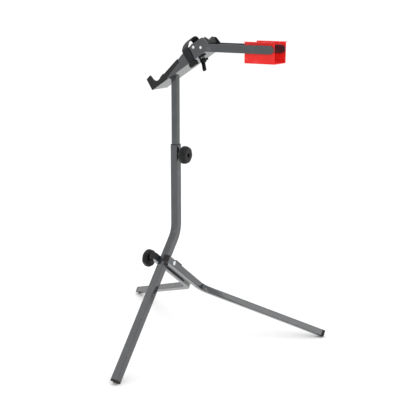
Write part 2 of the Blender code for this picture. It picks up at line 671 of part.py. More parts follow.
def hook_trim(head, name, side):
    # A rubber moulding slipped over the plate's edge: two cheeks and a rounded bead between them.
    outer = hook_outline(TRIM_PROUD)
    outer.append((RAMP_END, ramp_height(RAMP_END, TRIM_PROUD)))
    low = [(RAMP_END - TRIM_TOP_LEAN, ramp_height(RAMP_END, -TRIM_BAND + TRIM_PROUD)),
           (-TRIM_THROAT[0], TRIM_THROAT[1]), (-TRIM_TOE[0], TRIM_TOE[1])]
    width = SHEET + 2 * TRIM_CHEEK + 2 * GAP
    middle = side * (CHANNEL_WIDTH / 2 - SHEET / 2)
    place = Matrix.Translation((0, middle, 0)) @ TO_PLATE
    trim = add(name, outline_mesh(name, (outer + low)[::-1], width), "rubber", head, place)
    slit = hook_outline(GAP)
    slit.append((RAMP_END * 1.4, ramp_height(RAMP_END * 1.4, GAP)))
    slit += [(RAMP_END * 1.4, -CUT_PAST), (HOOK_START - GAP, -CUT_PAST)]
    web = outline_mesh(name + "_slit", slit[::-1], SHEET + 2 * GAP)
    cut(trim, add_cutter(name + "_slit", web, head, place))
    inner = [side * (CHANNEL_WIDTH / 2 + GAP), side * (CHANNEL_WIDTH / 2 - SHEET * 3)]
    clear = box_mesh(name + "_clear", (HOOK_START - CUT_PAST, min(inner), -CUT_PAST),
                     (RAMP_END, max(inner), SHEET + GAP))
    cut(trim, add_cutter(name + "_clear", clear, head))


# ---------------------------------------------------------------- arms and trough
def arm(post, name, low_y):
    half = ARM_HEIGHT / 2
    outline = (arc((ARM_END - half, 0), half, -math.pi / 2, math.pi / 2, 10)
               + arc((ARM_START + half, 0), half, math.pi / 2, 1.5 * math.pi, 10))
    place = Matrix.Translation((0, low_y + ARM_THICKNESS / 2, ARM_Z)) @ TO_PLATE
    bar = add(name, outline_mesh(name, outline, ARM_THICKNESS), "paint", post, place)
    for number, reach in enumerate(ARM_BOLTS):
        way = rod_mesh("%s_way_%d" % (name, number), ARM_BOLT_RADIUS + GAP, -ARM_THICKNESS, ARM_THICKNESS, 16)
        cut(bar, add_cutter("%s_way_%d" % (name, number), way, post, place @ Matrix.Translation((reach, 0, 0))))
    return bar


def spun_mesh(name, profile, steps, closed=False):
    # The profile is (radius, height), spun once about Z.
    build = bmesh.new()
    verts = [build.verts.new((radius, 0, height)) for radius, height in profile]
    edges = [build.edges.new(pair) for pair in zip(verts, verts[1:])]
    if closed:
        edges.append(build.edges.new((verts[-1], verts[0])))
    bmesh.ops.spin(build, geom=verts + edges, cent=(0, 0, 0), axis=(0, 0, 1), angle=2 * math.pi, steps=steps,
                   use_merge=True, use_duplicate=False)
    bmesh.ops.remove_doubles(build, verts=build.verts, dist=0.00001)
    bmesh.ops.recalc_face_normals(build, faces=build.faces)
    return to_mesh(name, build)


def arm_fasteners(post, name, head_face, nut_face):
    # Button-head bolts from head_face through to a nut beyond nut_face, along Y.
    way = 1 if nut_face > head_face else -1
    radius = ARM_BOLT_RADIUS
    reach = abs(nut_face - head_face) + GAP + radius
    head = dome(radius * 1.8, GAP, radius * 0.95, 4)
    bolt = spun_mesh("bolt", head + [(radius, GAP), (radius, -reach), (0.0, -reach)], 16)
    flat_bore = (radius + GAP) / math.cos(math.pi / 6)
    nut = spun_mesh("nut", ring_profile(flat_bore, radius * 1.75, -reach + GAP, -reach + radius - GAP), 6, True)
    turn = Matrix.Rotation(way * math.pi / 2, 4, "X")
    for number, along in enumerate(ARM_BOLTS, start=1):
        place = Matrix.Translation((along, head_face, ARM_Z)) @ turn
        add("%s_bolt_%d" % (name, number), bolt.copy(), "zinc", post, place)
        add("%s_nut_%d" % (name, number), nut.copy(), "zinc", post, place)


def wheel_trough(post, near_wall, far_wall):
    rim = ARM_Z + ARM_HEIGHT / 2 + TROUGH_ABOVE_ARM
    floor = rim - TROUGH_HEIGHT
    line = ((near_wall - TROUGH_RIM, rim), (near_wall, rim), (near_wall, floor),
            (far_wall, floor), (far_wall, rim), (far_wall + TROUGH_RIM, rim))
    build = bmesh.new()
    verts = [build.verts.new((TROUGH_START, y, z)) for y, z in line]
    edges = [build.edges.new(pair) for pair in zip(verts, verts[1:])]
    extrude_ring(build, edges, (TROUGH_LENGTH, 0, 0))
    bmesh.ops.recalc_face_normals(build, faces=build.faces)
    trough = add("wheel_trough", to_mesh("wheel_trough", build), "red", post)
    shell = trough.modifiers.new("sheet", "SOLIDIFY")
    shell.thickness = TROUGH_SHEET
    shell.offset = 0.0
    shell.use_even_offset = True
    return trough


def trough_screws(post, trough, near_bar, far_bar, near_inner, far_inner):
    # Flat-head screws through each wall into a blind hole in its arm.
    radius = TROUGH_SCREW_RADIUS
    depth = TROUGH_SHEET + GAP + ARM_THICKNESS * 0.6
    screw = spun_mesh("screw", [(0.0, TROUGH_SCREW_HEAD), (radius * 1.5, TROUGH_SCREW_HEAD), (radius * 2, GAP), (radius, GAP),
                                (radius, -depth + GAP), (0.0, -depth + GAP)], 12)
    for label, bar, face in (("near", near_bar, near_inner), ("far", far_bar, far_inner)):
        for number, along in enumerate(TROUGH_SCREWS):
            place = Matrix.Translation((TROUGH_START + along, face, ARM_Z)) @ Matrix.Rotation(-math.pi / 2, 4, "X")
            add("%s_trough_screw_%d" % (label, number + 1), screw.copy(), "zinc", post, place)
            way = rod_mesh("%s_screw_way_%d" % (label, number), radius + GAP, -depth - GAP, TROUGH_SHEET, 12)
            cutter = add_cutter("%s_screw_way_%d" % (label, number), way, post, place)
            cut(trough, cutter)
            cut(bar, cutter)


# ---------------------------------------------------------------- strap
def strap(head):
    # The band's middle line in the plane square to the channel, as (across, above the web).
    face = CHANNEL_WIDTH / 2 + GAP * 3 + STRAP_THICKNESS / 2
    line = ((-face, 0.0), (-face, 0.040), (-face + 0.0003, 0.044), (-0.0335, 0.0485), (-0.024, 0.0565),
            (-0.012, 0.0635), (0.002, 0.070), (0.016, 0.075), (0.029, 0.0775), (0.0385, 0.0765),
            (0.0435, 0.071), (0.0445, 0.062), (0.0425, 0.050), (face, 0.040), (face, 0.008))
    build = bmesh.new()
    verts = [build.verts.new((STRAP_A - STRAP_WIDTH / 2, y, z)) for y, z in line]
    edges = [build.edges.new(pair) for pair in zip(verts, verts[1:])]
    extrude_ring(build, edges, (STRAP_WIDTH, 0, 0))
    bmesh.ops.recalc_face_normals(build, faces=build.faces)
    band = add("strap", to_mesh("strap", build), "webbing", head)
    body = band.modifiers.new("thickness", "SOLIDIFY")
    body.thickness = STRAP_THICKNESS
    body.offset = 0.0
    body.use_even_offset = True

    low = (STRAP_A - STRAP_WIDTH / 2 - BUCKLE_SIDE, NEAR - BUCKLE_OUT, -BUCKLE_DROP)
    high = (STRAP_A + STRAP_WIDTH / 2 + BUCKLE_SIDE, NEAR + BUCKLE_IN, -GAP * 2)
    add("strap_buckle", box_mesh("strap_buckle", low, high, bevel=BUCKLE_ROUND, segments=3), "plastic", head)

    outside = face + STRAP_THICKNESS / 2 + GAP
    rivet = spun_mesh("rivet", dome(RIVET_RADIUS, 0.0, RIVET_HEIGHT, 4) + [(0.0, 0.0)], 16)
    place = Matrix.Translation((STRAP_A, outside, RIVET_B)) @ Matrix.Rotation(-math.pi / 2, 4, "X")
    add("strap_rivet", rivet, "zinc", head, place)


# ---------------------------------------------------------------- V rest and lever
def v_outline(low, grow):
    # Two horns with a V between them, square to the channel, grown outwards by grow.
    half = REST_HALF_WIDTH + grow
    top = REST_TOP + grow
    horn = HORN_RADIUS + grow
    right = arc((half - horn, top - horn), horn, 0.0, HORN_TURN, 6)
    floor = arc((0.0, REST_NOTCH + grow + NOTCH_RADIUS), NOTCH_RADIUS, -NOTCH_TURN, NOTCH_TURN - math.pi, 4)
    left = arc((-half + horn, top - horn), horn, math.pi - HORN_TURN, math.pi, 6)
    return [(half, low)] + right + floor + left + [(-half, low)]


def v_rest(slide):
    base_low = SHEET + GAP
    base = box_mesh("v_bracket", (-REST_FOOT_BACK, -REST_FOOT_HALF, base_low),
                    (REST_A - STUD_A + SHEET, REST_FOOT_HALF, base_low + SHEET))
    bracket = add("v_bracket", base, "paint", slide)
    square = axes((0, 1, 0), (0, 0, 1), (REST_A - STUD_A + SHEET / 2, 0, 0))
    upright = outline_mesh("v_upright", v_outline(base_low + SHEET / 3, 0.0), SHEET)
    cut(bracket, add_cutter("v_upright", upright, slide, square), "UNION")
    way = rod_mesh("v_stud_way", STUD_RADIUS + GAP, 0.0, CUT_PAST, 16)
    cut(bracket, add_cutter("v_stud_way", way, slide))

    pad = add("v_pad", outline_mesh("v_pad", v_outline(REST_NOTCH - REST_PAD_SKIRT, REST_PAD_PROUD),
                                    REST_PAD_DEPTH), "rubber", slide, square)
    slit = outline_mesh("v_pad_slit", v_outline(REST_NOTCH - REST_PAD_SKIRT * 2, GAP), SHEET + 2 * GAP)
    cut(pad, add_cutter("v_pad_slit", slit, slide, square))

    head_base = base_low + SHEET + GAP
    tip = -HUB_HEIGHT * 0.8
    profile = dome(STUD_RADIUS * 2, head_base, STUD_RADIUS, 4) + [
        (STUD_RADIUS, head_base), (STUD_RADIUS, tip), (0.0, tip)]
    turned("v_clamp_stud", profile, False, "zinc", slide, Matrix.Identity(4), 16)


def clamp_lever(turn):
    top = -GAP
    washer = ring_profile(STUD_RADIUS + GAP, HUB_RADIUS * 0.85, top - LEVER_WASHER, top)
    turned("lever_washer", washer, True, "zinc", turn, Matrix.Identity(4), 20)
    hub_top = top - LEVER_WASHER - GAP
    hub_low = hub_top - HUB_HEIGHT
    bore = STUD_RADIUS + GAP
    floor = hub_low + HUB_FLOOR
    hub = spun_mesh("clamp_lever", [(HUB_RADIUS * 0.9, hub_top), (HUB_RADIUS, hub_top - HUB_EASE),
                                    (HUB_RADIUS, floor), (HUB_RADIUS * 0.8, hub_low), (0.0, hub_low),
                                    (0.0, floor), (bore, floor), (bore, hub_top)], 20, True)
    lever = add("clamp_lever", hub, "plastic", turn)
    half, reach, thick = LEVER_ARM
    arm_place = axes((1, 0, 0), LEVER_DROOP, (0, -LEVER_ARM_BACK, hub_low + HUB_HEIGHT * 0.35))
    handle = box_mesh("lever_arm", (-half, thick, -thick), LEVER_ARM, bevel=thick / 2)
    cut(lever, add_cutter("lever_arm", handle, turn, arm_place), "UNION")
    tail_place = (Matrix.Translation((0, 0, hub_low + HUB_HEIGHT * 0.55))
                  @ Matrix.Rotation(LEVER_TAIL_TURN - math.pi / 2, 4, "Z") @ Matrix.Rotation(math.pi, 4, "Y"))
    half, reach, thick = LEVER_TAIL
    tail = box_mesh("lever_tail", (-half, LEVER_TAIL_START, -thick), LEVER_TAIL, bevel=half / 2)
    cut(lever, add_cutter("lever_tail", tail, turn, tail_place), "UNION")


start_clean()
BASE = frame("base", None, Matrix.Translation((0, POST_Y, 0)))
FLOOR = add_cutter("floor", box_mesh("floor", (-0.7, -0.7, -0.1), (0.7, 0.7, 0.0)), BASE)
LEGS = frame("rear_legs_pivot", BASE, LEG_FRAME)
LEG_SPIN = frame("leg_knob_axis", LEGS, Matrix.Identity(4))
CLAMP_SPIN = frame("height_knob_axis", BASE, Matrix.Translation((0, 0, POST_TOP - CLAMP_DROP)))
POST = frame("mast_axis", BASE, Matrix.Identity(4))
HEAD = frame("head", POST, HEAD_FRAME)
SLIDE = frame("v_rest_slide", HEAD, Matrix.Translation((STUD_A, 0, 0)))
TURN = frame("lever_axis", SLIDE, Matrix.Identity(4))

main_tube(BASE)
mast_bush(BASE)
pivot_washers(BASE)
rear_leg(LEGS, 1)
rear_leg(LEGS, -1)
leg_bridge(LEGS)
pivot_bolt(LEGS)
leg_knob(LEG_SPIN)
height_clamp(CLAMP_SPIN)
mast(POST)
CHANNEL = head_channel(HEAD)
arm_bolt_ways(CHANNEL, POST)
hook_trim(HEAD, "near_hook_trim", -1)
hook_trim(HEAD, "far_hook_trim", 1)
NEAR_ARM_Y = NEAR - GAP - ARM_THICKNESS
FAR_ARM_Y = FAR - SHEET - GAP - ARM_THICKNESS
NEAR_ARM = arm(POST, "near_arm", NEAR_ARM_Y)
FAR_ARM = arm(POST, "far_arm", FAR_ARM_Y)
arm_fasteners(POST, "near_arm", NEAR_ARM_Y, NEAR + SHEET)
arm_fasteners(POST, "far_arm", FAR, FAR_ARM_Y)
NEAR_WALL = NEAR_ARM_Y + ARM_THICKNESS + GAP + TROUGH_SHEET / 2
FAR_WALL = FAR_ARM_Y + ARM_THICKNESS + GAP + TROUGH_SHEET / 2
TROUGH = wheel_trough(POST, NEAR_WALL, FAR_WALL)
trough_screws(POST, TROUGH, NEAR_ARM, FAR_ARM, NEAR_WALL + TROUGH_SHEET / 2, FAR_WALL + TROUGH_SHEET / 2)
strap(HEAD)
v_rest(SLIDE)
clamp_lever(TURN)
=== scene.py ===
import json
import math

import bmesh
import bpy
from mathutils import Matrix, Vector


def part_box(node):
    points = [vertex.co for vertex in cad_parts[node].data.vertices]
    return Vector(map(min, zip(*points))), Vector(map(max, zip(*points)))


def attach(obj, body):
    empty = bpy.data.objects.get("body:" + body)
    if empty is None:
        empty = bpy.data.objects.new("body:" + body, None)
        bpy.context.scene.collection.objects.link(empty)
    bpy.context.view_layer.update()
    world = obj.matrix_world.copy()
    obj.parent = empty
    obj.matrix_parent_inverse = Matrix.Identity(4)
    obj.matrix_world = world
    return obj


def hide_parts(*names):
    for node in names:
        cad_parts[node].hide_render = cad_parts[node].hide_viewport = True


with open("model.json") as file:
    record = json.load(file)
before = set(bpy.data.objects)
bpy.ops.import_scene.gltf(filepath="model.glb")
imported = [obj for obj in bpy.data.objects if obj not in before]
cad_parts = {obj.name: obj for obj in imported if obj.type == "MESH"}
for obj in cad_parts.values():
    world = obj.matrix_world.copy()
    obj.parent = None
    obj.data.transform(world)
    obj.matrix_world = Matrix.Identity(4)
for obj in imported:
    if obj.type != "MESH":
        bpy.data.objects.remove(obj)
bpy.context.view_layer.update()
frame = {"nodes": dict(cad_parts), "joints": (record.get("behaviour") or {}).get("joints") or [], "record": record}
BODY_OF = {node: body for body, nodes in frame["record"]["behaviour"]["bodies"].items() for node in nodes}


# ---------------------------------------------------------------- camera
# The stand is seen from its front right, a little above its own height, through a long lens.
AZIMUTH = math.radians(31.88)
ELEVATION = math.radians(14.32)
ROLL = math.radians(0.14)
LENS_MM = 70.99
SENSOR_MM = 36.0
CAMERA_PLACE = (1.3880, -2.0776, 1.1495)

side_on = Vector((math.cos(AZIMUTH), math.sin(AZIMUTH), 0))
to_camera = Vector((math.sin(AZIMUTH) * math.cos(ELEVATION), -math.cos(AZIMUTH) * math.cos(ELEVATION),
                    math.sin(ELEVATION)))
upward = to_camera.cross(side_on)
rolled_side = side_on * math.cos(ROLL) + upward * math.sin(ROLL)
rolled_up = upward * math.cos(ROLL) - side_on * math.sin(ROLL)
camera_data = bpy.data.cameras.new("camera")
camera_data.lens = LENS_MM
camera_data.sensor_width = SENSOR_MM
camera = bpy.data.objects.new("camera", camera_data)
camera.matrix_world = (Matrix.Translation(CAMERA_PLACE)
                       @ Matrix((rolled_side, rolled_up, to_camera)).transposed().to_4x4())
bpy.context.scene.collection.objects.link(camera)
bpy.context.scene.camera = camera


# ---------------------------------------------------------------- floor and lights
# A white studio: a plain matt floor, an even white surround, and three large soft boxes.
# The white floor is what the paint mirrors on every underside.
FLOOR_REACH = 40.0
WHITE_STRENGTH = 1.1
LAMPS_AIM = (0.0, 0.0, 0.55)
# Each soft box has its place, its side in metres and its watts.
SOFT_BOXES = (("key", (3.0, -0.6, 2.6), 2.2, 20.0), ("fill", (-2.4, -2.6, 2.2), 2.6, 8.0),
              ("top", (0.2, 0.4, 3.4), 2.6, 12.0))
bpy.context.scene.view_settings.view_transform = "Standard"

floor_mesh = bmesh.new()
bmesh.ops.create_grid(floor_mesh, x_segments=1, y_segments=1, size=FLOOR_REACH)
floor_data = bpy.data.meshes.new("floor")
floor_mesh.to_mesh(floor_data)
floor_mesh.free()
floor = bpy.data.objects.new("floor", floor_data)
floor_paint = bpy.data.materials.new("matt_white_floor")
floor_paint.use_nodes = True
floor_shader = floor_paint.node_tree.nodes["Principled BSDF"]
floor_shader.inputs["Base Color"].default_value = (0.93, 0.93, 0.93, 1.0)
floor_shader.inputs["Roughness"].default_value = 0.9
floor_shader.inputs["Specular IOR Level"].default_value = 0.0
floor_data.materials.append(floor_paint)
bpy.context.scene.collection.objects.link(floor)

world = bpy.data.worlds.new("white_surround")
world.use_nodes = True
world.node_tree.nodes["Background"].inputs["Color"].default_value = (1.0, 1.0, 1.0, 1.0)
world.node_tree.nodes["Background"].inputs["Strength"].default_value = WHITE_STRENGTH
bpy.context.scene.world = world

for label, place, size, watts in SOFT_BOXES:
    lamp_data = bpy.data.lights.new(label + "_box", "AREA")
    lamp_data.size = size
    lamp_data.energy = watts
    lamp = bpy.data.objects.new(label + "_box", lamp_data)
    aim = (Vector(LAMPS_AIM) - Vector(place)).to_track_quat("-Z", "Y")
    lamp.matrix_world = Matrix.Translation(place) @ aim.to_matrix().to_4x4()
    bpy.context.scene.collection.objects.link(lamp)


# ---------------------------------------------------------------- main tube
# One length of 25 mm square steel tube, bent once over a roller and powder coated in glossy anthracite.
# The roller pushed the inner wall in at the bend, so it stands dented there.
MM = 0.001
POST_Y = (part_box("mast_tube")[0].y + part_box("mast_tube")[1].y) / 2
MAIN_SIZE = 25 * MM
MAIN_CORNER = 2.0 * MM
MAIN_WALL = 1.2 * MM
MAIN_BEND_HEIGHT = 405 * MM
MAIN_BEND_RADIUS = 80 * MM
MAIN_SLOPE = math.radians(49.3)
BEND_DENT = 5.0 * MM


def linear(code):
    """An sRGB hex colour as the linear colour that a shader takes."""
    parts = [int(code[at:at + 2], 16) / 255 for at in (1, 3, 5)]
    return tuple(p / 12.92 if p <= 0.04045 else ((p + 0.055) / 1.055) ** 2.4 for p in parts) + (1.0,)


def add_node(tree, kind, links=None, **settings):
    """Adds a shader node. Settings are its properties, or its sockets' values with _ for a space."""
    node = tree.nodes.new(kind)
    for name, value in settings.items():
        if name[0].islower():
            setattr(node, name, value)
        else:
            node.inputs[name.replace("_", " ")].default_value = value
    for name, source in (links or {}).items():
        tree.links.new(source, node.inputs[name])
    return node


def coated_surface(name, colours, mottle_mm, grain_mm, grain_depth_mm, matt, edge_wear_and_highlight_mm, **shader_values):
    """A painted or moulded skin: colours are its deep and plain tones and its edge tone, which is rubbed wear and
    a painted highlight; matt its roughness range.
    """
    material = bpy.data.materials.new(name)
    material.use_nodes = True
    tree = material.node_tree
    shader = tree.nodes["Principled BSDF"]
    place = add_node(tree, "ShaderNodeTexCoord").outputs["Object"]
    mottle = add_node(tree, "ShaderNodeTexNoise", {"Vector": place}, Scale=1 / (mottle_mm * MM), Detail=3.0)
    grain = add_node(tree, "ShaderNodeTexNoise", {"Vector": place}, Scale=1 / (grain_mm * MM), Detail=2.0)
    # Near every edge the colour is lifted towards the edge tone: rubbed wear and a painted highlight where the
    # edges catch light.
    rounded = add_node(tree, "ShaderNodeBevel", samples=4, Radius=edge_wear_and_highlight_mm * MM)
    flat = add_node(tree, "ShaderNodeNewGeometry")
    turn = add_node(tree, "ShaderNodeVectorMath", operation="DOT_PRODUCT")
    tree.links.new(rounded.outputs["Normal"], turn.inputs[0])
    tree.links.new(flat.outputs["Normal"], turn.inputs[1])
    edge = add_node(tree, "ShaderNodeMapRange", {"Value": turn.outputs["Value"]},
                    From_Min=0.995, From_Max=0.86, To_Min=0.0, To_Max=0.5)
    edge_wear_and_highlight = add_node(tree, "ShaderNodeMath", operation="MULTIPLY")
    tree.links.new(edge.outputs["Result"], edge_wear_and_highlight.inputs[0])
    tree.links.new(mottle.outputs["Fac"], edge_wear_and_highlight.inputs[1])
    tone = add_node(tree, "ShaderNodeMath", operation="ADD")
    tree.links.new(mottle.outputs["Fac"], tone.inputs[0])
    tree.links.new(edge_wear_and_highlight.outputs["Value"], tone.inputs[1])
    ramp = add_node(tree, "ShaderNodeValToRGB", {"Fac": tone.outputs["Value"]})
    ramp.color_ramp.elements.new(0.62)
    for stop, place_on_ramp, colour in zip(ramp.color_ramp.elements, (0.30, 0.62, 0.86), colours):
        stop.position = place_on_ramp
        stop.color = linear(colour)
    sheen = add_node(tree, "ShaderNodeMapRange", {"Value": mottle.outputs["Fac"]},
                     From_Min=0.3, From_Max=0.7, To_Min=matt[0], To_Max=matt[1])
    bump = add_node(tree, "ShaderNodeBump", {"Height": grain.outputs["Fac"]},
                    Strength=1.0, Distance=grain_depth_mm * MM)
    tree.links.new(ramp.outputs["Color"], shader.inputs["Base Color"])
    tree.links.new(sheen.outputs["Result"], shader.inputs["Roughness"])
    tree.links.new(bump.outputs["Normal"], shader.inputs["Normal"])
    for socket, value in shader_values.items():
        shader.inputs[socket.replace("_", " ")].default_value = value
    return material


# Polyester powder coat, baked at 200 C: a dark grey body under a clear glossy skin with faint orange peel.
# The peel is drawn at 2 mm, a little coarser than real, so that it shows.
# Its third tone, much lighter, is the edge tone: rubbed wear and a painted highlight on every edge.
powder_coat = coated_surface("anthracite_powder_coat", ("#1d2125", "#25292d", "#474c50"), 30, 2.0, 0.012,
                             (0.30, 0.42), 0.9, IOR=1.5, Specular_IOR_Level=0.0, Coat_Weight=1.0,
                             Coat_Roughness=0.05, Coat_IOR=1.8)


def square_ring(size, corner):
    """A rounded square of edges in the XZ plane, its sides split so that a bend can dent them."""
    build = bmesh.new()
    bmesh.ops.create_circle(build, cap_ends=True, segments=4, radius=size / math.sqrt(2))
    bmesh.ops.rotate(build, cent=(0, 0, 0), matrix=Matrix.Rotation(math.pi / 4, 3, "Z"), verts=build.verts)
    bmesh.ops.bevel(build, geom=build.verts[:], offset=corner, affect="VERTICES", segments=5, profile=0.5,
                    material=-1)
    bmesh.ops.delete(build, geom=build.faces[:], context="FACES_ONLY")
    sides = [edge for edge in build.edges if edge.calc_length() > size / 2]
    bmesh.ops.subdivide_edges(build, edges=sides, cuts=5)
    bmesh.ops.rotate(build, cent=(0, 0, 0), matrix=Matrix.Rotation(math.pi / 2, 3, "X"), verts=build.verts)
    return build


def draw_out(build, edges, step):
    """Extrudes a ring of edges by a vector and gives the ring at its far end."""
    grown = bmesh.ops.extrude_edge_only(build, edges=edges)["geom"]
    verts = [item for item in grown if isinstance(item, bmesh.types.BMVert)]
    bmesh.ops.translate(build, vec=step, verts=verts)
    return [item for item in grown if isinstance(item, bmesh.types.BMEdge)]


def bent_square_tube(size, corner, straight, bend_radius, turn, tail, dent):
    """A square tube up its own +Y to a bend whose corner is the origin, then turned towards +X or -X."""
    side = 1 if turn > 0 else -1
    tangent = bend_radius * math.tan(abs(turn) / 2)
    build = square_ring(size, corner)
    bmesh.ops.translate(build, vec=(0, -straight, 0), verts=build.verts)
    edges = draw_out(build, build.edges[:], (0, straight - tangent, 0))
    bend = bmesh.ops.spin(build, geom=edges, cent=(side * bend_radius, -tangent, 0), axis=(0, 0, -side),
                          angle=abs(turn), steps=28, use_merge=False, use_duplicate=False)
    edges = [item for item in bend["geom_last"] if isinstance(item, bmesh.types.BMEdge)]
    run = tail - tangent
    draw_out(build, edges, (run * math.sin(turn), run * math.cos(turn), 0))
    bmesh.ops.remove_doubles(build, verts=build.verts, dist=0.01 * MM)
    for vert in build.verts:
        inward = bend_radius - side * vert.co.x
        forward = vert.co.y + tangent
        share = math.atan2(forward, inward) / abs(turn)
        if 0.0 < share < 1.0:
            reach = math.hypot(inward, forward)
            depth = (bend_radius + size / 2 - reach) / size
            across = 1 - (2 * vert.co.z / size) ** 2
            push = dent * math.sin(math.pi * share) ** 2 * max(0.0, across) ** 0.7 * max(0.0, depth) ** 3
            grow = (reach + push) / reach
            vert.co.x = side * (bend_radius - inward * grow)
            vert.co.y = forward * grow - tangent
    bmesh.ops.recalc_face_normals(build, faces=build.faces)
    return build


def stand_in(name, build, nodes, material):
    """Makes a piece from a bmesh. It stands for these CAD nodes and rides on their body."""
    mesh = bpy.data.meshes.new(name)
    build.to_mesh(mesh)
    build.free()
    mesh.materials.append(material)
    mesh.shade_smooth()
    piece = bpy.data.objects.new(name, mesh)
    bpy.context.scene.collection.objects.link(piece)
    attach(piece, BODY_OF[nodes[0]])
    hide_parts(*nodes)
    return piece


def give_wall(piece, wall):
    """Gives a tube its wall, inwards, and keeps its flat sides flat in the light."""
    shell = piece.modifiers.new("wall", "SOLIDIFY")
    shell.thickness = wall
    shell.offset = -1.0
    shell.use_even_offset = True
    piece.modifiers.new("flat_sides", "WEIGHTED_NORMAL").weight = 80


def axes(x_axis, y_axis, origin):
    """A matrix that lays a piece's own X and Y along two directions."""
    across = Vector(x_axis).normalized()
    along = Vector(y_axis).normalized()
    return Matrix.Translation(origin) @ Matrix((across, along, across.cross(along))).transposed().to_4x4()


main_low, main_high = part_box("main_tube")
main_tail = (MAIN_BEND_HEIGHT - main_low.z - MAIN_SIZE / 2 * math.cos(MAIN_SLOPE)) / math.sin(MAIN_SLOPE)
main_build = bent_square_tube(MAIN_SIZE, MAIN_CORNER, main_high.z - MAIN_BEND_HEIGHT, MAIN_BEND_RADIUS,
                              math.pi / 2 - MAIN_SLOPE, main_tail, BEND_DENT)
main_build.transform(axes((0, -1, 0), (0, 0, -1), (0, POST_Y, MAIN_BEND_HEIGHT)))
main_tube = stand_in("main_tube_coated", main_build, ["main_tube"], powder_coat)
give_wall(main_tube, MAIN_WALL)


# ---------------------------------------------------------------- rear legs
# Two 22 mm square tubes beside the main tube, each bent outwards and dented by the roller like it.
# They fold about the pivot bolt. A small locating hole is drilled in each underside beyond the bolt.
LEG_SIZE = 22 * MM
LEG_CORNER = 2.0 * MM
LEG_WALL = 1.5 * MM
LEG_TILT = math.radians(-38.0)
LEG_FRONT = 36 * MM
LEG_UPPER = 238 * MM
LEG_BEND_RADIUS = 60 * MM
LEG_SPLAY = math.radians(54.9)
LEG_CENTRE = 25.5 * MM
LOCATING_HOLE_OUT = 13 * MM
LOCATING_HOLE_RADIUS = 2.5 * MM

pivot = Vector(next(joint for joint in frame["joints"] if joint["name"] == "rear_legs_fold")["pos_m"])
leg_frame = Matrix.Translation(pivot) @ Matrix.Rotation(LEG_TILT, 4, "X")
leg_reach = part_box("right_leg")[1].x - LEG_SIZE / 2 * math.cos(LEG_SPLAY) - LEG_CENTRE
leg_tail = leg_reach / math.sin(LEG_SPLAY)


def drill(piece, place, radius, depth):
    """Drills a round hole along the place's own Z, centred on it, and keeps the drilled mesh."""
    build = bmesh.new()
    bmesh.ops.create_cone(build, cap_ends=True, segments=24, radius1=radius, radius2=radius, depth=depth)
    build.transform(place)
    mesh = bpy.data.meshes.new("drill")
    build.to_mesh(mesh)
    build.free()
    bit = bpy.data.objects.new("drill", mesh)
    bpy.context.scene.collection.objects.link(bit)
    hole = piece.modifiers.new("hole", "BOOLEAN")
    hole.object = bit
    bpy.context.view_layer.update()
    drilled = bpy.data.meshes.new_from_object(piece.evaluated_get(bpy.context.evaluated_depsgraph_get()))
    piece.modifiers.clear()
    piece.data = drilled
    bpy.data.objects.remove(bit)


for word, side in (("right", 1), ("left", -1)):
    leg_build = bent_square_tube(LEG_SIZE, LEG_CORNER, LEG_UPPER + LEG_FRONT, LEG_BEND_RADIUS,
                                 side * LEG_SPLAY, leg_tail, BEND_DENT)
    leg_build.transform(leg_frame @ Matrix.Translation((side * LEG_CENTRE, LEG_UPPER, 0)))
    leg = stand_in(word + "_leg_coated", leg_build, [word + "_leg"], powder_coat)
    shell = leg.modifiers.new("wall", "SOLIDIFY")
    shell.thickness = LEG_WALL
    shell.offset = -1.0
    shell.use_even_offset = True
    hole_place = leg_frame @ Matrix.Translation((side * LEG_CENTRE, LOCATING_HOLE_OUT, -LEG_SIZE / 2))
    drill(leg, hole_place, LOCATING_HOLE_RADIUS, LEG_SIZE / 2)
    leg.modifiers.new("flat_sides", "WEIGHTED_NORMAL").weight = 80


# ---------------------------------------------------------------- mast
# A 20 mm square tube that slides in the main tube, cut at a slant under the head and welded to it.
# It has the same powder coat.
MAST_SIZE = 20 * MM
MAST_CORNER = 1.8 * MM
MAST_WALL = 1.5 * MM
HEAD_SLOPE = math.radians(33.0)
WEB_HEIGHT = 909 * MM
WELD_GAP = 0.3 * MM

head_frame = Matrix.Translation((0, POST_Y, WEB_HEIGHT)) @ Matrix.Rotation(-HEAD_SLOPE, 4, "Y")
mast_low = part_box("mast_tube")[0]
mast_build = square_ring(MAST_SIZE, MAST_CORNER)
mast_build.transform(Matrix.Translation((0, POST_Y, mast_low.z)) @ Matrix.Rotation(math.pi / 2, 4, "X"))
draw_out(mast_build, mast_build.edges[:], (0, 0, WEB_HEIGHT + MAST_SIZE - mast_low.z))
web_normal = head_frame.to_3x3() @ Vector((0, 0, 1))
bmesh.ops.bisect_plane(mast_build, geom=mast_build.verts[:] + mast_build.edges[:] + mast_build.faces[:],
                       plane_co=head_frame.translation - web_normal * WELD_GAP, plane_no=web_normal,
                       clear_outer=True)
bmesh.ops.recalc_face_normals(mast_build, faces=mast_build.faces)
mast = stand_in("mast_coated", mast_build, ["mast_tube"], powder_coat)
give_wall(mast, MAST_WALL)


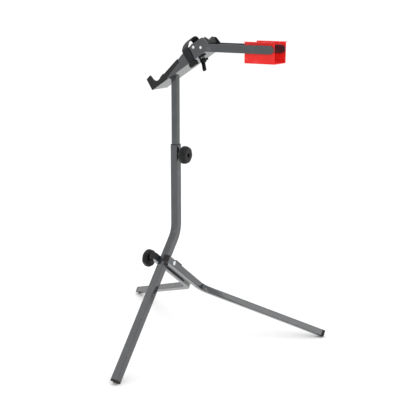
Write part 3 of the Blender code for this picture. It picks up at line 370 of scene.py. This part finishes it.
# ---------------------------------------------------------------- plates, arms and small steel parts
# The head's channel is folded from 3 mm sheet; the arms are 24 mm flat bar with round ends.
# Each is punched, its edges rounded by tumbling before the coat, which thins on them; the coat's edge tone paints
# them lighter, as rubbed wear and a painted highlight.
def eased_copy(node, ease_mm, segments, material, least_angle=30):
    """A copy of a CAD node, merged into whole faces, with its sharp edges eased."""
    build = bmesh.new()
    build.from_mesh(frame["nodes"][node].data)
    bmesh.ops.remove_doubles(build, verts=build.verts, dist=0.005 * MM)
    bmesh.ops.dissolve_limit(build, angle_limit=math.radians(1.0), verts=build.verts, edges=build.edges)
    piece = stand_in(node + "_eased", build, [node], material)
    ease = piece.modifiers.new("eased_edges", "BEVEL")
    ease.width = ease_mm * MM
    ease.segments = segments
    ease.limit_method = "ANGLE"
    ease.angle_limit = math.radians(least_angle)
    piece.modifiers.new("flat_sides", "WEIGHTED_NORMAL").weight = 80
    return piece


for node, ease_mm in (("head_channel", 0.5), ("near_arm", 0.6), ("far_arm", 0.6), ("v_bracket", 0.4),
                      ("leg_bridge", 0.5), ("clamp_nut", 0.4)):
    eased_copy(node, ease_mm, 3, powder_coat)


# ---------------------------------------------------------------- foot caps and tube plugs
# Push-in end caps of moulded polyethylene, dark and satin, with softly rounded rims.
# All five are painted a little paler along their rims and edges, as rubbed wear and a painted highlight.
cap_plastic = coated_surface("moulded_polyethylene_cap", ("#130f0f", "#1a1515", "#352f2e"), 12, 0.9, 0.03,
                             (0.42, 0.58), 1.2, IOR=1.51, Specular_IOR_Level=0.25)
for node in ("main_foot_cap", "right_foot_cap", "left_foot_cap", "right_leg_plug", "left_leg_plug"):
    eased_copy(node, 0.7, 3, cap_plastic)


# ---------------------------------------------------------------- clamp knobs
# Two seven-lobed mushroom knobs moulded in glass-filled nylon, black with a fine spark-eroded grain.
# Each has a bored boss towards the tube, and a shallow dish with a screw well in its face.
KNOB_LOBES = 7
KNOB_LOBE_DEPTH = 1.1 * MM
LEG_KNOB_BOSS = 13 * MM
HEIGHT_KNOB_BOSS = 8.5 * MM
KNOB_BORE_RADIUS = 4.3 * MM
BOSS_RADIUS = 10.5 * MM
BOSS_EASE = 0.6 * MM

# Its third tone paints the knobs' edges lighter: rubbed wear and a painted highlight.
knob_nylon = coated_surface("moulded_black_nylon", ("#090a0a", "#0f1011", "#26282a"), 18, 0.8, 0.04,
                            (0.30, 0.44), 1.0, IOR=1.53, Specular_IOR_Level=0.2)


def clamp_knob(name, node, boss, base, outward):
    """A lobed knob with its boss at base and its face along outward, sized from its CAD node."""
    low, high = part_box(node)
    radius = (high.z - low.z) / 2
    length = high.x - low.x
    depth = length - boss
    # Each point is the radius, the height, and how deep the lobes are there.
    profile = ((KNOB_BORE_RADIUS, length * 0.7, 0.0), (KNOB_BORE_RADIUS, 0.0, 0.0),
               (BOSS_RADIUS - BOSS_EASE, 0.0, 0.0), (BOSS_RADIUS, BOSS_EASE, 0.0),
               (BOSS_RADIUS, boss * 0.80, 0.0), (radius * 0.42, boss * 0.93, 0.05),
               (radius * 0.58, boss, 0.2),
               (radius * 0.84, boss + depth * 0.03, 0.7), (radius * 0.94, boss + depth * 0.10, 1.0),
               (radius * 0.99, boss + depth * 0.22, 1.0), (radius, boss + depth * 0.40, 1.0),
               (radius, boss + depth * 0.60, 1.0), (radius * 0.97, boss + depth * 0.76, 1.0),
               (radius * 0.90, boss + depth * 0.89, 0.9), (radius * 0.79, boss + depth * 0.97, 0.7),
               (radius * 0.66, length, 0.4), (radius * 0.34, length - 0.4 * MM, 0.0),
               (radius * 0.25, length - 0.9 * MM, 0.0), (radius * 0.22, length - 2.0 * MM, 0.0),
               (radius * 0.20, length * 0.72, 0.0), (KNOB_BORE_RADIUS, length * 0.7, 0.0))
    build = bmesh.new()
    verts = [build.verts.new((reach, 0, height)) for reach, height, share in profile]
    edges = [build.edges.new(pair) for pair in zip(verts, verts[1:])]
    share_at = {round(height / MM, 3): share for reach, height, share in profile if reach > radius * 0.4}
    bmesh.ops.spin(build, geom=verts + edges, cent=(0, 0, 0), axis=(0, 0, 1), angle=2 * math.pi,
                   steps=KNOB_LOBES * 16, use_merge=True, use_duplicate=False)
    bmesh.ops.remove_doubles(build, verts=build.verts, dist=0.01 * MM)
    for vert in build.verts:
        reach = math.hypot(vert.co.x, vert.co.y)
        share = share_at.get(round(vert.co.z / MM, 3), 0.0) if reach > radius * 0.4 else 0.0
        wave = (1 - math.cos(KNOB_LOBES * math.atan2(vert.co.y, vert.co.x))) / 2
        shrink = (reach - KNOB_LOBE_DEPTH * share * wave ** 1.5) / reach
        vert.co.x *= shrink
        vert.co.y *= shrink
    bmesh.ops.recalc_face_normals(build, faces=build.faces)
    build.transform(axes((0, 0, 1), (0, -1, 0) if outward > 0 else (0, 1, 0), base))
    piece = stand_in(name, build, [node], knob_nylon)
    ease = piece.modifiers.new("smooth", "SUBSURF")
    ease.levels = 1
    ease.render_levels = 1
    return piece


leg_knob_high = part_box("leg_knob")[1]
clamp_knob("leg_knob_moulded", "leg_knob", LEG_KNOB_BOSS, (leg_knob_high.x, pivot.y, pivot.z), -1)
height_low, height_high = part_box("height_knob")
height_knob_base = (height_low.x, POST_Y, (height_low.z + height_high.z) / 2)
clamp_knob("height_knob_moulded", "height_knob", HEIGHT_KNOB_BOSS, height_knob_base, 1)


# ---------------------------------------------------------------- bolts, nuts and washers
# Cold-headed steel, zinc plated to a bright blue-white that mirrors the room, with a soft rolled grain.
# The pivot bolt and the arm bolts have domed heads with a hexagon socket.
def zinc_plate():
    material = bpy.data.materials.new("bright_zinc_plate")
    material.use_nodes = True
    tree = material.node_tree
    shader = tree.nodes["Principled BSDF"]
    place = add_node(tree, "ShaderNodeTexCoord").outputs["Object"]
    haze = add_node(tree, "ShaderNodeTexNoise", {"Vector": place}, Scale=1 / (3 * MM), Detail=4.0)
    ramp = add_node(tree, "ShaderNodeValToRGB", {"Fac": haze.outputs["Fac"]})
    for stop, colour in zip(ramp.color_ramp.elements, ("#c3c8cc", "#eef1f2")):
        stop.color = linear(colour)
    matt = add_node(tree, "ShaderNodeMapRange", {"Value": haze.outputs["Fac"]}, To_Min=0.14, To_Max=0.34)
    bump = add_node(tree, "ShaderNodeBump", {"Height": haze.outputs["Fac"]}, Distance=0.01 * MM)
    tree.links.new(ramp.outputs["Color"], shader.inputs["Base Color"])
    tree.links.new(matt.outputs["Result"], shader.inputs["Roughness"])
    tree.links.new(bump.outputs["Normal"], shader.inputs["Normal"])
    shader.inputs["Metallic"].default_value = 1.0
    return material


zinc = zinc_plate()


def domed_bolt(name, node, place, head_radius, head_height, shank_radius, length):
    """A button-head bolt: its head stands on the place's own +Z and its shank runs down -Z."""
    steps = 8
    socket = head_radius * 0.42
    turns = [math.pi / 2 * at / steps for at in range(steps)]
    dome = [(head_radius * math.cos(turn), head_height * math.sin(turn)) for turn in turns]
    dome = [(reach, height) for reach, height in dome if reach > socket * 1.12]
    profile = [(0.0, head_height * 0.35), (socket, head_height * 0.35), (socket, head_height * 0.93)]
    profile += dome[::-1] + [(shank_radius, 0.0), (shank_radius, -length), (0.0, -length)]
    build = bmesh.new()
    verts = [build.verts.new((reach, 0, height)) for reach, height in profile]
    edges = [build.edges.new(pair) for pair in zip(verts, verts[1:])]
    bmesh.ops.spin(build, geom=verts + edges, cent=(0, 0, 0), axis=(0, 0, 1), angle=2 * math.pi, steps=36,
                   use_merge=True, use_duplicate=False)
    bmesh.ops.remove_doubles(build, verts=build.verts, dist=0.005 * MM)
    bmesh.ops.recalc_face_normals(build, faces=build.faces)
    build.transform(place)
    piece = stand_in(name, build, [node], zinc)
    piece.data.set_sharp_from_angle(angle=math.radians(40))
    return piece


pivot_low, pivot_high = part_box("pivot_bolt")
PIVOT_HEAD_HEIGHT = 4.2 * MM
PIVOT_HEAD_RADIUS = 7.5 * MM
PIVOT_SHANK_RADIUS = 4 * MM
pivot_seat = pivot_high.x - PIVOT_HEAD_HEIGHT
pivot_place = Matrix.Translation((pivot_seat, pivot.y, pivot.z)) @ Matrix.Rotation(math.pi / 2, 4, "Y")
domed_bolt("pivot_bolt_plated", "pivot_bolt", pivot_place, PIVOT_HEAD_RADIUS, PIVOT_HEAD_HEIGHT,
           PIVOT_SHANK_RADIUS, pivot_seat - pivot_low.x)
ARM_HEAD_HEIGHT = 2.2 * MM
ARM_HEAD_RADIUS = 4.5 * MM
ARM_SHANK_RADIUS = 2.5 * MM
for label, facing in (("near", -1), ("far", 1)):
    for number in (1, 2):
        node = "%s_arm_bolt_%d" % (label, number)
        low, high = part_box(node)
        middle = (low + high) / 2
        seat = low.y + ARM_HEAD_HEIGHT if facing < 0 else high.y - ARM_HEAD_HEIGHT
        turn = Matrix.Rotation(-facing * math.pi / 2, 4, "X")
        place = Matrix.Translation((middle.x, seat, middle.z)) @ turn
        domed_bolt(node + "_plated", node, place, ARM_HEAD_RADIUS, ARM_HEAD_HEIGHT, ARM_SHANK_RADIUS,
                   high.y - low.y - ARM_HEAD_HEIGHT)

zinc_nodes = ["knob_washer", "height_screw", "strap_rivet", "v_clamp_stud", "lever_washer"]
zinc_nodes += ["%s_arm_nut_%d" % (label, number) for label in ("near", "far") for number in (1, 2)]
zinc_nodes += ["%s_trough_screw_%d" % (label, number) for label in ("near", "far") for number in (1, 2)]
for node in zinc_nodes:
    eased_copy(node, 0.2, 2, zinc, least_angle=40)


# ---------------------------------------------------------------- bush, glide and pivot washers
# The bush and the glide that guide the mast are black nylon; the two pivot washers are natural nylon.
# All are injection moulded and slightly polished by rubbing.
# Its third tone paints the washers' edges lighter: rubbed wear and a painted highlight.
natural_nylon = coated_surface("natural_nylon", ("#b9b8b2", "#c9c8c3", "#dddcd8"), 6, 0.7, 0.01, (0.40, 0.52),
                               0.5, IOR=1.53, Subsurface_Weight=0.1)
for node in ("mast_bush", "mast_glide"):
    eased_copy(node, 0.3, 2, knob_nylon)
for node in ("pivot_washer_right", "pivot_washer_left"):
    eased_copy(node, 0.2, 2, natural_nylon)


# ---------------------------------------------------------------- hook trims and V pad
# Black rubber mouldings that keep the bicycle's paint off the steel, pushed over the plates' edges.
# Their edges are full and round, and the rubber is satin with a fine dusty bloom.
# Its third tone paints the rubber's round edges lighter: rubbed wear and a painted highlight.
moulded_rubber = coated_surface("moulded_black_rubber", ("#111111", "#1a1a1a", "#3c3d3d"), 9, 0.9, 0.05,
                                (0.48, 0.66), 1.5, IOR=1.52, Specular_IOR_Level=0.3)
for node in ("near_hook_trim", "far_hook_trim"):
    eased_copy(node, 0.9, 3, moulded_rubber)
eased_copy("v_pad", 1.6, 4, moulded_rubber)


# ---------------------------------------------------------------- wheel trough
# A trough for the front wheel, folded from 1.5 mm steel sheet on a press brake with a lip along each rim.
# It is coated in a satin signal red, painted paler along its folds and edges: a painted highlight where light
# grazes them, and rubbed wear.
TROUGH_SHEET = 1.5 * MM
TROUGH_LIP = 8 * MM
FOLD_RADIUS = 2.0 * MM

signal_red = coated_surface("signal_red_powder_coat", ("#d8201c", "#e02420", "#e8554f"), 26, 1.8, 0.012,
                            (0.34, 0.46), 0.8, IOR=1.5, Specular_IOR_Level=0.25)
trough_low, trough_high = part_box("wheel_trough")
half_sheet = TROUGH_SHEET / 2
near_wall = trough_low.y + TROUGH_LIP
far_wall = trough_high.y - TROUGH_LIP
rim = trough_high.z - half_sheet
bed = trough_low.z + half_sheet
fold_line = ((trough_low.y, rim), (near_wall, rim), (near_wall, bed), (far_wall, bed), (far_wall, rim),
             (trough_high.y, rim))
trough_build = bmesh.new()
trough_verts = [trough_build.verts.new((trough_low.x, y, z)) for y, z in fold_line]
trough_edges = [trough_build.edges.new(pair) for pair in zip(trough_verts, trough_verts[1:])]
draw_out(trough_build, trough_edges, (trough_high.x - trough_low.x, 0, 0))
folds = [edge for edge in trough_build.edges if len(edge.link_faces) == 2]
bmesh.ops.bevel(trough_build, geom=folds, offset=FOLD_RADIUS, affect="EDGES", segments=4, profile=0.5,
                material=-1)
bmesh.ops.recalc_face_normals(trough_build, faces=trough_build.faces)
trough = stand_in("wheel_trough_coated", trough_build, ["wheel_trough"], signal_red)
sheet = trough.modifiers.new("sheet", "SOLIDIFY")
sheet.thickness = TROUGH_SHEET
sheet.offset = 0.0
sheet.use_even_offset = True
cut_edges = trough.modifiers.new("eased_edges", "BEVEL")
cut_edges.width = 0.35 * MM
cut_edges.segments = 2
cut_edges.limit_method = "ANGLE"
cut_edges.angle_limit = math.radians(50)
trough.modifiers.new("flat_sides", "WEIGHTED_NORMAL").weight = 80


# ---------------------------------------------------------------- strap
# A band of 26 mm nylon webbing over the down tube. It is riveted to the far plate and runs down the
# near plate into its buckle, and its stiff weave holds it up in a hoop that leans to the far side.
STRAP_A = 102 * MM
STRAP_WIDTH = 26 * MM
STRAP_THICKNESS = 2.0 * MM
STRAP_FACE = 39.9 * MM
RIB_MM = 1.8

strap_line = ((-STRAP_FACE, 0.0), (-STRAP_FACE, 40 * MM), (-STRAP_FACE + 0.3 * MM, 44 * MM),
              (-33.5 * MM, 48.5 * MM), (-24 * MM, 56.5 * MM), (-12 * MM, 63.5 * MM),
              (2 * MM, 70 * MM), (16 * MM, 75 * MM),
              (29 * MM, 77.5 * MM), (38.5 * MM, 76.5 * MM), (43.5 * MM, 71 * MM), (44.5 * MM, 62 * MM),
              (42.5 * MM, 50 * MM), (STRAP_FACE, 40 * MM), (STRAP_FACE, 8 * MM))


def nylon_webbing():
    # Flat-woven nylon: ribs of warp yarn run along the band and weft picks cross them. The ribs are
    # drawn at 1.8 mm, coarser than the real 1 mm, so that the weave shows.
    material = bpy.data.materials.new("black_nylon_webbing")
    material.use_nodes = True
    tree = material.node_tree
    shader = tree.nodes["Principled BSDF"]
    place = add_node(tree, "ShaderNodeUVMap", uv_map="band").outputs["UV"]
    warp = add_node(tree, "ShaderNodeTexWave", {"Vector": place}, wave_type="BANDS", bands_direction="Y",
                    Scale=1 / RIB_MM * 0.314, Distortion=0.4)
    weft = add_node(tree, "ShaderNodeTexWave", {"Vector": place}, wave_type="BANDS", bands_direction="X",
                    Scale=1 / RIB_MM * 0.314, Distortion=0.6)
    weave = add_node(tree, "ShaderNodeMath", operation="MULTIPLY")
    tree.links.new(warp.outputs["Fac"], weave.inputs[0])
    tree.links.new(weft.outputs["Fac"], weave.inputs[1])
    fuzz = add_node(tree, "ShaderNodeTexNoise", {"Vector": place}, Scale=0.25, Detail=4.0)
    tone = add_node(tree, "ShaderNodeMath", operation="MULTIPLY_ADD")
    tree.links.new(weave.outputs["Value"], tone.inputs[0])
    tone.inputs[1].default_value = 0.6
    tree.links.new(fuzz.outputs["Fac"], tone.inputs[2])
    ramp = add_node(tree, "ShaderNodeValToRGB", {"Fac": tone.outputs["Value"]})
    for stop, colour in zip(ramp.color_ramp.elements, ("#0a0b0b", "#232527")):
        stop.color = linear(colour)
    matt = add_node(tree, "ShaderNodeMapRange", {"Value": fuzz.outputs["Fac"]}, To_Min=0.62, To_Max=0.85)
    bump = add_node(tree, "ShaderNodeBump", {"Height": weave.outputs["Value"]}, Distance=0.25 * MM)
    tree.links.new(ramp.outputs["Color"], shader.inputs["Base Color"])
    tree.links.new(matt.outputs["Result"], shader.inputs["Roughness"])
    tree.links.new(bump.outputs["Normal"], shader.inputs["Normal"])
    shader.inputs["Sheen Weight"].default_value = 0.08
    shader.inputs["Specular IOR Level"].default_value = 0.2
    return material


webbing = nylon_webbing()
strap_build = bmesh.new()
strap_verts = [strap_build.verts.new((STRAP_A - STRAP_WIDTH / 2, y, z)) for y, z in strap_line]
strap_edges = [strap_build.edges.new(pair) for pair in zip(strap_verts, strap_verts[1:])]
for lane in range(4):
    strap_edges = draw_out(strap_build, strap_edges, (STRAP_WIDTH / 4, 0, 0))
lengths = [0.0]
for start, end in zip(strap_line, strap_line[1:]):
    lengths.append(lengths[-1] + math.dist(start, end))
length_at = {(round(y, 6), round(z, 6)): run for (y, z), run in zip(strap_line, lengths)}
band_map = strap_build.loops.layers.uv.new("band")
for face in strap_build.faces:
    for loop in face.loops:
        run = length_at[(round(loop.vert.co.y, 6), round(loop.vert.co.z, 6))]
        loop[band_map].uv = (run / MM, (loop.vert.co.x - STRAP_A) / MM)
bmesh.ops.recalc_face_normals(strap_build, faces=strap_build.faces)
strap_build.transform(head_frame)
strap = stand_in("strap_woven", strap_build, ["strap"], webbing)
curve = strap.modifiers.new("supple", "SUBSURF")
curve.levels = 2
curve.render_levels = 2
body = strap.modifiers.new("thickness", "SOLIDIFY")
body.thickness = STRAP_THICKNESS
body.offset = 0.0
selvedge = strap.modifiers.new("selvedge", "BEVEL")
selvedge.width = 0.6 * MM
selvedge.segments = 2
selvedge.limit_method = "ANGLE"
selvedge.angle_limit = math.radians(60)


# ---------------------------------------------------------------- buckle and clamp lever
# The buckle under the near plate and the lever that clamps the V rest are the knobs' black nylon.
# Both have full rounded edges, which catch the light; the nylon's edge tone also paints them lighter, as rubbed
# wear and a painted highlight.
eased_copy("strap_buckle", 1.2, 3, knob_nylon)
eased_copy("clamp_lever", 0.9, 3, knob_nylon)
